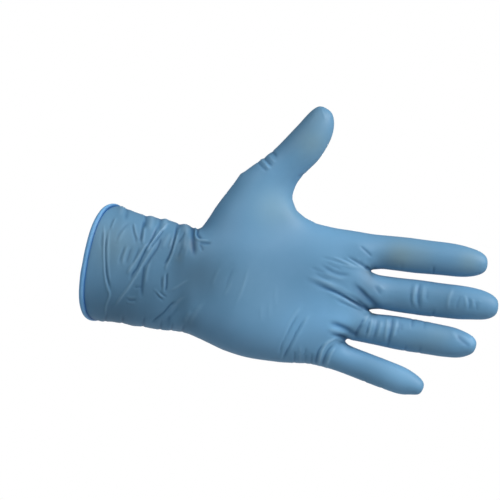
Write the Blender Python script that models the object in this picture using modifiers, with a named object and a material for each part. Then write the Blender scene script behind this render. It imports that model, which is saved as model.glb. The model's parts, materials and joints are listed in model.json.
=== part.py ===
"""A thin chemical-resistant glove as it stands when worn on a left hand, palm towards -Y and thumb up.

It is two pieces. glove_film is the dipped film: cuff, palm, four fingers and a thumb in one open shell.
cuff_bead is the roll of film round the rim of the cuff. Lengths are in metres, +X runs from the cuff to
the fingertips, +Z to the thumb, and the origin is the middle of the opening that the hand goes in by.
"""

import math
from collections import namedtuple

import bmesh
import bpy
from mathutils import Vector

# Film and bead
FILM = 0.001                # wall of the shell
BEAD = 0.0030               # thickness of the rolled rim
SEAT_GAP = 0.0003           # between the film's edge and the roll

# Cuff, from the rim to the wrist
CUFF_LENGTH = 0.0524
CUFF_TILT = -10.8           # degrees that the cuff runs down towards the wrist
CUFF_YAW = 8.0              # degrees that it runs out towards -Y
RIM_BREADTH = 0.0690
RIM_DEPTH = 0.0540
RIM_SLANT = 0.34            # how far the rim's palm side runs back, for each metre of depth
RIM_SHOULDER = 18.0         # degrees from the rim's thumb edge to its first column
WRIST_BREADTH = 0.0635
WRIST_DEPTH = 0.0450

# Palm, from the wrist to the webs beside the middle finger
PALM_LENGTH = 0.103
PALM_TILT = -7.0            # degrees, the direction of the hand
PALM_DEPTH = 0.0330

# Thumb, from the side of the palm to its tip
THUMB_LENGTH = 0.0748
THUMB_WIDTH = 0.0240
THUMB_DEPTH = 0.0215
THUMB_REACH = 0.34          # share of the palm's length where the thumb's root is centred

# Middle finger, from the webs beside it to its tip
FINGER_LENGTH = 0.0796
FINGER_WIDTH = 0.0208
FINGER_DEPTH = 0.0190

# The fingers in shares of the middle one. A finger's root takes up slot times its width across the palm, it
# points splay degrees off the hand, and its tip comes forward by curl times its length.
Finger = namedtuple("Finger", "name length width depth slot splay curl")
FINGERS = (
    Finger("index", 0.965, 0.986, 1.000, 1.170, 0.4, 0.05),
    Finger("middle", 1.000, 1.000, 1.000, 1.150, 0.0, 0.06),
    Finger("ring", 0.950, 0.947, 0.947, 0.890, -3.6, 0.07),
    Finger("little", 0.788, 0.837, 0.842, 1.045, -14.4, 0.08),
)
# How far up the palm each web or edge lies, as a share of the palm's length, from the index finger's edge.
WEBS = (0.880, 1.000, 1.010, 0.890, 0.740)

# Sections along a finger: along its length, and shares of its width and depth.
Joint = namedtuple("Joint", "along width depth")
FINGER_JOINTS = (
    Joint(0.13, 0.98, 1.02),
    Joint(0.30, 1.00, 1.04),
    Joint(0.48, 0.99, 0.98),
    Joint(0.66, 0.98, 0.97),
    Joint(0.82, 0.92, 0.92),
    Joint(0.94, 0.74, 0.74),
    Joint(0.995, 0.36, 0.38),
)

# Sections along the palm: forward in shares of its length, thumb and heel edges in shares of half the
# breadth at the webs, shoulder in degrees from the thumb edge to the first column, depth in its share, and
# lean, how far the heel edge hangs back, in shares of the length.
Row = namedtuple("Row", "forward thumb heel shoulder depth lean")
PALM_ROWS = (
    Row(0.03, 0.74, 0.79, 30.0, 1.34, 0.00),
    Row(0.15, 0.93, 0.90, 38.0, 1.27, 0.00),
    Row(0.30, 1.05, 1.01, 44.0, 1.18, 0.00),
    Row(0.46, 1.08, 1.02, 42.0, 1.08, 0.02),
    Row(0.62, 1.03, 1.02, 34.0, 1.00, 0.06),
    Row(0.78, 0.98, 1.02, 22.0, 0.97, 0.12),
)
THUMB_ROWS = (0, 4)         # the rows of the palm that the thumb's root lies between

# Sections along the thumb: along and across it in shares of its length, turned in degrees from the hand's
# direction to the thumb's, width and depth in shares, and forward of the palm in shares of its depth.
Knuckle = namedtuple("Knuckle", "along across turn width depth forward")
THUMB_JOINTS = (
    Knuckle(0.043, -0.036, 93.0, 2.21, 1.36, 0.06),
    Knuckle(0.163, -0.080, 89.5, 1.64, 1.26, 0.14),
    Knuckle(0.288, -0.088, 85.0, 1.37, 1.17, 0.22),
    Knuckle(0.408, -0.043, 80.0, 1.18, 1.08, 0.28),
    Knuckle(0.526, 0.003, 76.0, 1.03, 1.00, 0.33),
    Knuckle(0.658, 0.037, 71.0, 1.01, 0.97, 0.37),
    Knuckle(0.793, 0.050, 71.0, 0.92, 0.93, 0.40),
    Knuckle(0.935, 0.046, 69.0, 0.70, 0.72, 0.42),
    Knuckle(1.010, 0.040, 70.0, 0.34, 0.36, 0.42),
)
THUMB_AXIS = 60.3           # degrees up from +X

# Mounds and hollows: forward and across in shares of the palm's length and half its breadth, reach in
# shares of the breadth, rise in shares of the palm's depth, and side -1 for the palm and 1 for the back.
Mound = namedtuple("Mound", "name forward across reach rise side")
MOUNDS = (
    Mound("ball of the thumb", 0.26, 0.52, 0.30, 0.16, -1),
    Mound("heel", 0.34, -0.60, 0.32, 0.14, -1),
    Mound("hollow of the palm", 0.58, 0.00, 0.26, -0.10, -1),
    Mound("pads under the fingers", 0.90, -0.10, 0.26, 0.04, -1),
    Mound("hollow of the wrist", -0.04, 0.00, 0.24, -0.06, -1),
    Mound("back of the hand", 0.72, 0.05, 0.36, 0.05, 1),
    Mound("index knuckle", 0.83, 0.70, 0.10, 0.08, 1),
    Mound("middle knuckle", 0.88, 0.22, 0.10, 0.09, 1),
    Mound("ring knuckle", 0.84, -0.24, 0.10, 0.08, 1),
    Mound("little knuckle", 0.74, -0.66, 0.10, 0.08, 1),
)

# Folds of the loose cuff: each runs from one place to another, along in shares of the cuff's length and
# around in degrees from the palm side towards the thumb. Width and rise are shares of the cuff's length.
Fold = namedtuple("Fold", "along0 around0 along1 around1 width rise")
CUFF_FOLDS = (
    Fold(0.30, -70.0, 0.92, 60.0, 0.075, 0.024),
    Fold(0.20, -80.0, 0.24, 50.0, 0.060, 0.014),
    Fold(0.52, -60.0, 1.12, 40.0, 0.070, 0.020),
    Fold(0.42, 20.0, 0.62, 95.0, 0.070, 0.022),
    Fold(0.86, 5.0, 1.02, 88.0, 0.075, 0.026),
    Fold(0.66, -95.0, 1.20, -30.0, 0.070, 0.020),
    Fold(0.35, 130.0, 0.80, 250.0, 0.080, 0.024),
    Fold(0.70, 110.0, 1.05, 230.0, 0.075, 0.022),
    Fold(0.15, 200.0, 0.55, 290.0, 0.070, 0.020),
)

CUFF_RINGS = 9              # steps from the rim to the wrist
COLUMNS = 9                 # points across the palm, and as many across the back
CORNERS = 2.4               # 2 is an ellipse, and more is squarer
HEEL_COLUMN = -72.0         # degrees of the last column, near the heel edge

# The line of webs: the outer fingers' edges in shares of the palm's depth and of their slots, the webs'
# hollows in shares of its depth and length. On the back the line lies further from the fingertips, and its
# hollows are deeper, in shares of the palm's length and of the palm side's depth.
EDGE_DEPTH = 0.62
EDGE_INSET = 0.10
WEB_DEPTH = 0.80
WEB_HOLLOW = 0.012
BACK_SET = 0.05
BACK_WEBS = 0.62

FOLDS_END = 1.3             # the cuff's folds die out this many cuff lengths from the rim

FILM_BLUE = (0.155, 0.345, 0.545, 1.0)
BEAD_BLUE = (0.120, 0.370, 0.720, 1.0)

DEPTH_WAY = Vector((0.0, -1.0, 0.0))


def in_plane(degrees):
    """The direction in the hand's plane that many degrees up from +X."""
    return Vector((math.cos(math.radians(degrees)), 0.0, math.sin(math.radians(degrees))))


def power(value, exponent):
    """A signed power, which makes the rounded square sections."""
    return math.copysign(abs(value) ** exponent, value)


def swell(corners):
    """How much wider than its smooth form a ring of that many corners is."""
    return 3.0 / (2.0 + math.cos(2.0 * math.pi / corners))


CUFF_WAY = (in_plane(CUFF_TILT) + DEPTH_WAY * math.tan(math.radians(CUFF_YAW))).normalized()
HAND_WAY = in_plane(PALM_TILT)
THUMB_SIDE = in_plane(PALM_TILT + 90.0)
WRIST = CUFF_WAY * CUFF_LENGTH
SLOTS = [FINGER_WIDTH * finger.width * finger.slot for finger in FINGERS]
HALF_BREADTH = sum(SLOTS) / 2.0


def column_angles(shoulder):
    """Angles round a section, from the thumb edge over the palm to the heel and back over the back."""
    first = 90.0 - shoulder
    palm = [first + (HEEL_COLUMN - first) * i / (COLUMNS - 1) for i in range(COLUMNS)]
    return [90.0] + palm + [-90.0] + [180.0 - angle for angle in reversed(palm)]


def section(centre, up, thumb, heel, depth, shoulder, slant=0.0, lean=0.0, way=HAND_WAY):
    """The ring of points of one section of the cuff or palm."""
    points = []
    grow = swell(2 * COLUMNS + 2)
    for angle in column_angles(shoulder):
        rise = power(math.sin(math.radians(angle)), 2.0 / CORNERS) * grow
        front = power(math.cos(math.radians(angle)), 2.0 / CORNERS) * depth / 2.0 * grow
        across = rise * (thumb if rise > 0.0 else heel)
        back = slant * front + lean * max(0.0, -rise)
        points.append(centre + up * across + DEPTH_WAY * front - way * back)
    return points


def cuff_ring(share):
    """A section of the cuff, share of the way from the rim to the wrist."""
    breadth = RIM_BREADTH + (WRIST_BREADTH - RIM_BREADTH) * share
    depth = RIM_DEPTH + (WRIST_DEPTH - RIM_DEPTH) * share
    tilt = CUFF_TILT + (PALM_TILT - CUFF_TILT) * share
    slant = RIM_SLANT * (1.0 - share)
    shoulder = RIM_SHOULDER + (PALM_ROWS[0].shoulder - RIM_SHOULDER) * share
    return section(CUFF_WAY * CUFF_LENGTH * share, in_plane(tilt + 90.0), breadth / 2.0, breadth / 2.0,
                   depth, shoulder, slant=slant, way=CUFF_WAY)


def palm_ring(row):
    """A section of the palm."""
    centre = WRIST + HAND_WAY * PALM_LENGTH * row.forward
    return section(centre, THUMB_SIDE, HALF_BREADTH * row.thumb, HALF_BREADTH * row.heel,
                   PALM_DEPTH * row.depth, row.shoulder, lean=PALM_LENGTH * row.lean)


def web_across(index):
    """How far from the hand's axis a web or edge lies, towards the thumb."""
    return HALF_BREADTH - sum(SLOTS[:index])


def web_point(index, depth):
    """A point of the line of webs, that far out towards the palm side."""
    return WRIST + HAND_WAY * PALM_LENGTH * WEBS[index] + THUMB_SIDE * web_across(index) + DEPTH_WAY * depth


def knuckle_ring():
    """The last section of the palm, which follows the line of webs."""
    half = PALM_DEPTH / 2.0
    palm, back = [], []
    for column in range(COLUMNS):
        low, high = column // 2, (column + 1) // 2
        point = (web_point(low, half) + web_point(high, half)) / 2.0
        if column == 0:
            point = web_point(0, half * EDGE_DEPTH) - THUMB_SIDE * SLOTS[0] * EDGE_INSET
        elif column == COLUMNS - 1:
            point = web_point(4, half * EDGE_DEPTH) + THUMB_SIDE * SLOTS[3] * EDGE_INSET
        elif column % 2 == 0:
            point = web_point(low, half * WEB_DEPTH) - HAND_WAY * PALM_LENGTH * WEB_HOLLOW
        palm.append(point)
        web = column % 2 == 0 and 0 < column < COLUMNS - 1
        behind = (WRIST.y - point.y) * (BACK_WEBS if web else 1.0)
        back.append(Vector((point.x, WRIST.y + behind, point.z)) - HAND_WAY * PALM_LENGTH * BACK_SET)
    return [web_point(0, 0.0)] + palm + [web_point(4, 0.0)] + back[::-1]


def finger_ring(finger, start, way, joint):
    """The eight corners of one section of a finger, in the order of its root face."""
    side = Vector((-way.z, 0.0, way.x))
    length = FINGER_LENGTH * finger.length
    bend = finger.curl * length * joint.along ** 2
    centre = start + way * length * joint.along + DEPTH_WAY * bend
    wide = FINGER_WIDTH * finger.width * joint.width * swell(8) / 2.0
    deep = FINGER_DEPTH * finger.depth * joint.depth * swell(8) / 2.0
    points = []
    for corner in range(8):
        angle = math.radians(90.0 - 45.0 * corner)
        points.append(centre + side * wide * math.sin(angle) + DEPTH_WAY * deep * math.cos(angle))
    return points


def thumb_ring(root, joint):
    """The twelve corners of one section of the thumb, in the order of its root face."""
    way = in_plane(THUMB_AXIS)
    across = Vector((way.z, 0.0, -way.x))
    wrist_side = in_plane(PALM_TILT + joint.turn + 90.0)
    centre = root + way * THUMB_LENGTH * joint.along + across * THUMB_LENGTH * joint.across
    centre += DEPTH_WAY * THUMB_DEPTH * joint.forward
    wide = THUMB_WIDTH * joint.width * swell(12) / 2.0
    deep = THUMB_DEPTH * joint.depth * swell(12) / 2.0
    points = []
    for corner in range(12):
        angle = math.radians(30.0 * corner)
        points.append(centre + wrist_side * wide * math.cos(angle) + DEPTH_WAY * deep * math.sin(angle))
    return points


def grow(bm, ring, sections):
    """Extrudes the face whose corners are ring through the sections, and gives the last ring."""
    for points in sections:
        face = bm.faces.get(ring)
        top = bmesh.ops.extrude_discrete_faces(bm, faces=[face])["faces"][0]
        above = {}
        for corner in top.verts:
            stem = next(edge for edge in corner.link_edges if edge not in top.edges[:])
            above[stem.other_vert(corner)] = corner
        ring = [above[corner] for corner in ring]
        for corner, point in zip(ring, points):
            corner.co = point
    return ring


def glove_cage(bm):
    """Extrudes the cuff and palm from the rim, and then each finger and the thumb from its root."""
    rim = [bm.verts.new(point) for point in cuff_ring(0.0)]
    bm.faces.new(rim)
    rings = [rim]
    sections = [cuff_ring(step / CUFF_RINGS) for step in range(1, CUFF_RINGS + 1)]
    sections += [palm_ring(row) for row in PALM_ROWS]
    sections.append(knuckle_ring())
    for points in sections:
        rings.append(grow(bm, rings[-1], [points]))

    end = rings[-1]
    palm, back = end[1:COLUMNS + 1], end[COLUMNS + 2:][::-1]
    webs = [end[0]]
    for web in range(1, len(FINGERS)):
        split = bmesh.ops.connect_verts(bm, verts=[palm[2 * web], back[2 * web]])["edges"][0]
        middle = bmesh.utils.edge_split(split, palm[2 * web], 0.5)[1]
        middle.co = web_point(web, 0.0)
        webs.append(middle)
    webs.append(end[COLUMNS + 1])

    for slot, finger in enumerate(FINGERS):
        first = 2 * slot
        root = [webs[slot], *palm[first:first + 3], webs[slot + 1], *back[first:first + 3][::-1]]
        start = (webs[slot].co + webs[slot + 1].co) / 2.0
        way = in_plane(PALM_TILT + finger.splay)
        grow(bm, root, [finger_ring(finger, start, way, joint) for joint in FINGER_JOINTS])

    low, high = (CUFF_RINGS + 1 + row for row in THUMB_ROWS)
    roof = [rings[i] for i in range(low, high + 1)]
    tiles = [bm.faces.get([a[0], a[1], b[1], b[0]]) for a, b in zip(roof, roof[1:])]
    tiles += [bm.faces.get([a[-1], a[0], b[0], b[-1]]) for a, b in zip(roof, roof[1:])]
    bmesh.ops.dissolve_faces(bm, faces=tiles, use_verts=False)
    root = [roof[0][0], *[ring[1] for ring in roof], roof[-1][0], *[ring[-1] for ring in roof[::-1]]]
    start = WRIST + HAND_WAY * PALM_LENGTH * THUMB_REACH + THUMB_SIDE * HALF_BREADTH
    grow(bm, root, [thumb_ring(start, joint) for joint in THUMB_JOINTS])

    bmesh.ops.recalc_face_normals(bm, faces=bm.faces[:])


def mound_rise(mound, place, normal):
    """How far a mound lifts a point of the surface, along its own side."""
    forward = place.dot(HAND_WAY) - mound.forward * PALM_LENGTH
    across = place.dot(THUMB_SIDE) - mound.across * HALF_BREADTH
    reach = mound.reach * 2.0 * HALF_BREADTH
    near = math.exp(-(forward ** 2 + across ** 2) / reach ** 2)
    facing = max(0.0, normal.y * mound.side)
    return mound.rise * PALM_DEPTH * near * facing


def fold_rise(fold, along, around, radius):
    """How far a fold of the cuff lifts a point that lies along and around it."""
    start = Vector((fold.along0 * CUFF_LENGTH, math.radians(fold.around0) * radius))
    finish = Vector((fold.along1 * CUFF_LENGTH, math.radians(fold.around1) * radius))
    middle = math.radians(fold.around0 + fold.around1) / 2.0
    turn = (math.radians(around) - middle + math.pi) % (2.0 * math.pi) - math.pi + middle
    here = Vector((along, turn * radius))
    run = finish - start
    share = (here - start).dot(run) / run.length_squared
    if not 0.0 < share < 1.0:
        return 0.0
    off = abs((here - start).x * run.y - (here - start).y * run.x) / run.length
    width = fold.width * CUFF_LENGTH
    return fold.rise * CUFF_LENGTH * math.exp(-(off / width) ** 2) * math.sin(math.pi * share)


def shape_surface(mesh):
    """Moves the smooth surface's points out over the mounds and the cuff's folds."""
    normals = [vertex.normal.copy() for vertex in mesh.vertices]
    cuff_up = in_plane(CUFF_TILT + 90.0)
    radius = (RIM_BREADTH + WRIST_BREADTH) / 4.0
    for vertex, normal in zip(mesh.vertices, normals):
        place = vertex.co - WRIST
        lift = Vector((0.0, 0.0, 0.0))
        for mound in MOUNDS:
            lift += Vector((0.0, mound.side, 0.0)) * mound_rise(mound, place, normal)
        along = vertex.co.dot(CUFF_WAY)
        off_axis = vertex.co - CUFF_WAY * along
        around = math.degrees(math.atan2(off_axis.dot(cuff_up), -off_axis.y))
        if along < FOLDS_END * CUFF_LENGTH:
            lift += normal * sum(fold_rise(fold, along, around, radius) for fold in CUFF_FOLDS)
        vertex.co += lift


def material(name, colour, roughness):
    made = bpy.data.materials.new(name)
    made.use_nodes = True
    shader = made.node_tree.nodes["Principled BSDF"]
    shader.inputs["Base Color"].default_value = colour
    shader.inputs["Roughness"].default_value = roughness
    return made


def add(collection, name, data, finish):
    made = bpy.data.objects.new(name, data)
    data.materials.append(finish)
    collection.objects.link(made)
    return made


def glove_film(collection):
    """The open shell: an extruded cage, smoothed once, shaped, and given its wall inwards."""
    bm = bmesh.new()
    glove_cage(bm)
    cage = bpy.data.meshes.new("glove_cage")
    bm.to_mesh(cage)
    bm.free()
    finish = material("nitrile_film", FILM_BLUE, 0.42)
    draft = add(collection, "glove_draft", cage, finish)
    smooth = draft.modifiers.new("Subdivision", "SUBSURF")
    smooth.levels = smooth.render_levels = 1
    bpy.context.view_layer.update()
    graph = bpy.context.evaluated_depsgraph_get()
    surface = bpy.data.meshes.new_from_object(draft.evaluated_get(graph))
    bpy.data.objects.remove(draft)
    shape_surface(surface)
    surface.shade_smooth()
    glove = bpy.data.objects.new("glove_film", surface)
    collection.objects.link(glove)
    wall = glove.modifiers.new("Wall", "SOLIDIFY")
    wall.thickness = FILM
    wall.offset = -1.0
    return glove


def rim_path():
    """The smooth line round the film's edge, in the middle of its wall."""
    ring = cuff_ring(0.0)
    count = len(ring)
    path = []
    for i in range(count):
        before, here, after = ring[i - 1], ring[i], ring[(i + 1) % count]
        path.append((before + here * 6.0 + after) / 8.0)
        path.append((here + after) / 2.0)
    return [point - point.normalized() * FILM / 2.0 for point in path]


def cuff_bead(collection):
    """The rolled rim: a closed round tube that follows the film's edge."""
    curve = bpy.data.curves.new("cuff_bead", "CURVE")
    curve.dimensions = "3D"
    curve.bevel_depth = BEAD / 2.0
    curve.bevel_resolution = 2
    spline = curve.splines.new("POLY")
    back = CUFF_WAY * (BEAD / 2.0 + SEAT_GAP) / math.cos(math.atan(RIM_SLANT))
    path = [point - back for point in rim_path()]
    spline.points.add(len(path) - 1)
    for control, point in zip(spline.points, path):
        control.co = (*point, 1.0)
    spline.use_cyclic_u = True
    return add(collection, "cuff_bead", curve, material("rolled_nitrile", BEAD_BLUE, 0.35))


def main():
    for old in list(bpy.data.objects):
        bpy.data.objects.remove(old)
    collection = bpy.data.collections.new("chemical_resistant_glove")
    bpy.context.scene.collection.children.link(collection)
    glove_film(collection)
    cuff_bead(collection)


main()
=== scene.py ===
# %% [markdown]
# # A nitrile glove, in the shape that it has when worn
#
# This lesson dresses a plain, faceted solid of a glove. The solid has the right size and the main shape,
# and it never moves. What it lacks is what makes a thin dipped film look like one: soft folds in the loose
# cuff, creases that fan out between the fingers, short wrinkles across the joints, a rolled rim, and a
# satin blue that turns pale where the film is stretched. Each step below adds one of these.

# %% Load the fixed frame
import json
import math
from collections import namedtuple

import bmesh
import bpy
import numpy as np
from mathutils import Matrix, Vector, noise


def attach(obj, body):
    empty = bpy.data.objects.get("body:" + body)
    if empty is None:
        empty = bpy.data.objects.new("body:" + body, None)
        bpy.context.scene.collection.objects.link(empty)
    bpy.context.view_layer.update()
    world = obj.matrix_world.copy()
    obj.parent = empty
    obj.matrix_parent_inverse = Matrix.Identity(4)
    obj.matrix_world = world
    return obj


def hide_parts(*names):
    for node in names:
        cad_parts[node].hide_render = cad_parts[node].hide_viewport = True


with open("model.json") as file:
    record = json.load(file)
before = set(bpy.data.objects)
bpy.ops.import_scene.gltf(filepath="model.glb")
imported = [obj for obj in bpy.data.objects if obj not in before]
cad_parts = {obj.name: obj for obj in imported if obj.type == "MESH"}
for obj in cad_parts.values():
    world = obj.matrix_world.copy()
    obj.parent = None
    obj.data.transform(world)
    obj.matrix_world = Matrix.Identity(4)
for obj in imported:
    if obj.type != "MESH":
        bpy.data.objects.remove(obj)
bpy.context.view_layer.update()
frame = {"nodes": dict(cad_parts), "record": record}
MM = 0.001
print("nodes:", sorted(frame["nodes"]))

# %% [markdown]
# ## Places in the photograph
#
# The glove was seen from about a metre away, looking straight at its palm. There one pixel of the
# photograph covers 0.6 mm, and the middle of the cuff's opening, which is the origin, lies at a known
# pixel. With these few numbers any point of the glove can be turned into the pixel where it is seen, so a
# fold can be written down where the eye finds it, and still lie on the surface when seen from any side.

# %% From a point of the glove to a pixel
PIXEL = 0.6 * MM
FRAME_PX = 500
OPENING_PX = (107.5, 263.0)
CAMERA_AWAY = 1.0
CAMERA_X = (FRAME_PX / 2 - OPENING_PX[0]) * PIXEL
CAMERA_Z = (OPENING_PX[1] - FRAME_PX / 2) * PIXEL


def seen_at(points):
    """The pixel at which each point is seen, as an array of two columns."""
    nearness = CAMERA_AWAY / (CAMERA_AWAY + points[:, 1])
    across = FRAME_PX / 2 + (points[:, 0] - CAMERA_X) * nearness / PIXEL
    down = FRAME_PX / 2 - (points[:, 2] - CAMERA_Z) * nearness / PIXEL
    return np.stack([across, down], axis=1)


print("the frame is", round(FRAME_PX * PIXEL / MM), "mm wide at the palm")

# %% [markdown]
# ## The camera
#
# A long lens from a metre away keeps the fingers free of distortion, as a catalogue picture does. The
# sensor is 36 mm wide, so the lens follows from the width that the frame has to show. Depth of field
# stays off, because the same scene is also looked at from other sides.

# %% Camera
SENSOR_MM = 36.0

scene = bpy.context.scene
camera_data = bpy.data.cameras.new("camera")
camera_data.sensor_width = SENSOR_MM
camera_data.lens = SENSOR_MM * CAMERA_AWAY / (FRAME_PX * PIXEL)
camera = bpy.data.objects.new("camera", camera_data)
camera.location = (CAMERA_X, -CAMERA_AWAY, CAMERA_Z)
camera.rotation_euler = (math.radians(90.0), 0.0, 0.0)
scene.collection.objects.link(camera)
scene.camera = camera
print("lens:", round(camera_data.lens, 1), "mm")

# %% [markdown]
# ## The shell to work on
#
# The fixed solid has a wall: an outer and an inner sheet, joined round the rim. The real film is only about
# a tenth of a millimetre thick, so one sheet is enough here. The steps are to copy the node's mesh, merge
# its loose triangles, join them into the squares that they were cut from, delete the narrow ring of faces
# at the rim, and keep the wider of the two sheets that this leaves.

# %% Merge a copy of a node
SAME_PLACE = 0.002 * MM             # points closer than this are one
SQUARE_BEND = math.radians(60.0)    # the most that two triangles of a square may be bent
SQUARE_SHEAR = math.radians(80.0)   # and how far from right angles its corners may be


def merged_copy(node):
    """A bmesh of a CAD node, with its loose triangles merged and joined into squares."""
    bm = bmesh.new()
    bm.from_mesh(frame["nodes"][node].data)
    bmesh.ops.remove_doubles(bm, verts=bm.verts, dist=SAME_PLACE)
    bmesh.ops.join_triangles(bm, faces=bm.faces, angle_face_threshold=SQUARE_BEND,
                             angle_shape_threshold=SQUARE_SHEAR, topology_influence=2.0)
    return bm


shell = merged_copy("glove_film")
print("merged copy:", len(shell.faces), "faces")

# %% [markdown]
# The ring of faces at the rim is known by its normals, which point out of the opening, and by its place.
# Once it is gone nothing joins the two sheets, so a walk from face to face, started at the highest point,
# finds the whole outer one and nothing else.

# %% Keep the outer sheet
CUFF_WAY = -Vector(frame["record"]["mounts"][0]["axis"])    # from the opening towards the wrist
FACES_OUT = -0.75                   # part of a rim face's normal along that way
RIM_DEPTH = 20.0 * MM


def reach(start):
    """Every face that can be reached from a face across shared edges."""
    found, front = {start}, [start]
    while front:
        for edge in front.pop().edges:
            for face in edge.link_faces:
                if face not in found:
                    found.add(face)
                    front.append(face)
    return found


rim_faces = [face for face in shell.faces if face.normal.dot(CUFF_WAY) < FACES_OUT
             and face.calc_center_median().dot(CUFF_WAY) < RIM_DEPTH]
bmesh.ops.delete(shell, geom=rim_faces, context="FACES_ONLY")
tallest = max(shell.verts, key=lambda vert: vert.co.z)
outer = reach(tallest.link_faces[0])
inner = [face for face in shell.faces if face not in outer]
bmesh.ops.delete(shell, geom=inner, context="FACES")
print("outer sheet:", len(shell.faces), "faces, inner sheet deleted:", len(inner))

# %% [markdown]
# ## Tuck the rim in
#
# On the real glove the last few millimetres of film are rolled up on themselves, so the film runs into the
# roll with no gap. One extrusion of the open edge, moved back and a little inwards, does the same here.

# %% Extrude the open edge into the roll
TUCK_BACK = 1.4 * MM
TUCK_IN = 0.5 * MM

open_edges = [edge for edge in shell.edges if edge.is_boundary]
tucked = bmesh.ops.extrude_edge_only(shell, edges=open_edges)["geom"]
for vert in [item for item in tucked if isinstance(item, bmesh.types.BMVert)]:
    inwards = CUFF_WAY * vert.co.dot(CUFF_WAY) - vert.co
    vert.co += inwards.normalized() * TUCK_IN - CUFF_WAY * TUCK_BACK
print("rim edges tucked in:", len(open_edges))

# %% [markdown]
# ## Round the facets
#
# The solid's squares are 3 to 4 mm wide, which shows as facets. One level of Catmull-Clark subdivision
# rounds them. It pulls the sheet a little towards the inside, by about a fifth of a millimetre on the
# fingers and less elsewhere.

# %% Subdivide the sheet once
def to_object(bm, name):
    """A shown object at the origin that holds a bmesh, which is freed."""
    mesh = bpy.data.meshes.new(name)
    bm.to_mesh(mesh)
    bm.free()
    made = bpy.data.objects.new(name, mesh)
    scene.collection.objects.link(made)
    return made


def rounded(bm, levels):
    """The bmesh, smoothed by that many levels of subdivision."""
    draft = to_object(bm, "draft")
    smooth = draft.modifiers.new("Subdivision", "SUBSURF")
    smooth.levels = smooth.render_levels = levels
    bpy.context.view_layer.update()
    graph = bpy.context.evaluated_depsgraph_get()
    mesh = bpy.data.meshes.new_from_object(draft.evaluated_get(graph))
    bpy.data.objects.remove(draft)
    done = bmesh.new()
    done.from_mesh(mesh)
    bpy.data.meshes.remove(mesh)
    return done


film = rounded(shell, 1)
bmesh.ops.recalc_face_normals(film, faces=film.faces)
print("rounded sheet:", len(film.faces), "faces")

# %% [markdown]
# ## Write down the folds
#
# A fold in thin film is a narrow ridge or a narrow valley, often both side by side, and it dies out at its
# ends. Each row below is one of them: how far it rises in millimetres, or sinks where the number is
# negative, half its width in millimetres, its skew, which lowers the left side and lifts the right as one
# walks along it, the share of its length over which it fades at either end, and its path. The path is a
# few pixels of the photograph, and a smooth curve runs through them.

# %% Folds behind the rim
Fold = namedtuple("Fold", "rise width skew fade path")

RIM_FOLDS = (                       # a long double pleat, and what runs beside it
    Fold(0.44, 0.65, 0.0, 0.12, ((103.4, 222), (104, 234), (103.8, 249), (104.2, 265), (104.8, 276),
                                 (107.4, 288), (109.4, 295), (105.8, 307), (105.6, 321))),
    Fold(-0.52, 0.62, 0.0, 0.20, ((107.4, 232), (105.7, 242), (105.2, 252), (105.5, 262), (106.6, 274),
                                  (109, 285), (111, 292))),
    Fold(0.34, 0.75, 0.0, 0.25, ((110.4, 226), (108.2, 238), (107.6, 250), (108, 265), (109.2, 277),
                                 (111.6, 288))),
    Fold(-0.20, 0.80, 0.0, 0.30, ((103, 230), (101.4, 239), (101, 250))),
    Fold(0.30, 0.80, 0.0, 0.30, ((116.4, 216), (113, 224), (110.4, 231))),
    Fold(-0.22, 0.80, 0.0, 0.30, ((113.6, 217), (111, 223.6), (108.8, 230))),
)
print("folds behind the rim:", len(RIM_FOLDS))

# %% [markdown]
# The strongest fold of the cuff runs slantwise from its upper edge down towards the rim. It is a sharp
# ridge between two dark lines, and its lower part goes on as a second, softer ridge. It needs many points,
# because the eye follows it along its whole length.

# %% The slanting folds of the cuff
SLANTING_FOLDS = (
    Fold(0.74, 0.70, 0.0, 0.14, ((169, 222), (161.6, 230), (153.4, 240.6), (149, 246.4), (145.6, 253))),
    Fold(-0.68, 0.72, 0.0, 0.14, ((158, 224), (156, 229.6), (150.9, 240.6), (146, 248.6), (142.2, 256),
                                  (139, 263), (136.2, 268.8), (132.4, 274), (129, 281))),
    Fold(0.60, 0.90, 0.0, 0.16, ((149, 242), (144.6, 247), (141.2, 252.4), (138, 257.6), (134.4, 262.4),
                                 (130.4, 268.4), (126.4, 275))),
    Fold(-0.62, 0.62, 0.0, 0.20, ((165, 228), (161.6, 232.2), (157.2, 238.8), (153, 244.6), (149.6, 250))),
    Fold(0.55, 0.80, 0.0, 0.14, ((158, 239), (154.5, 244), (150.8, 250.4), (147.2, 256.6), (144.4, 261.2),
                                 (141.2, 266.6), (137.6, 273), (133.2, 280), (128, 288), (121, 297),
                                 (113, 307))),
    Fold(-0.54, 0.80, 0.0, 0.20, ((162, 236), (159.9, 241), (157.2, 247.6), (154.1, 252.6), (151, 257),
                                  (147.4, 262.6), (144, 268))),
    Fold(0.34, 1.10, 0.0, 0.30, ((171, 231), (166, 240), (162, 250))),
)
print("slanting folds:", len(SLANTING_FOLDS))

# %% [markdown]
# Shorter folds stand upright between the slanting ones and the rim. They are weak, and each has a dark and a
# bright side, so they are written as pairs of a valley and a ridge.

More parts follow.
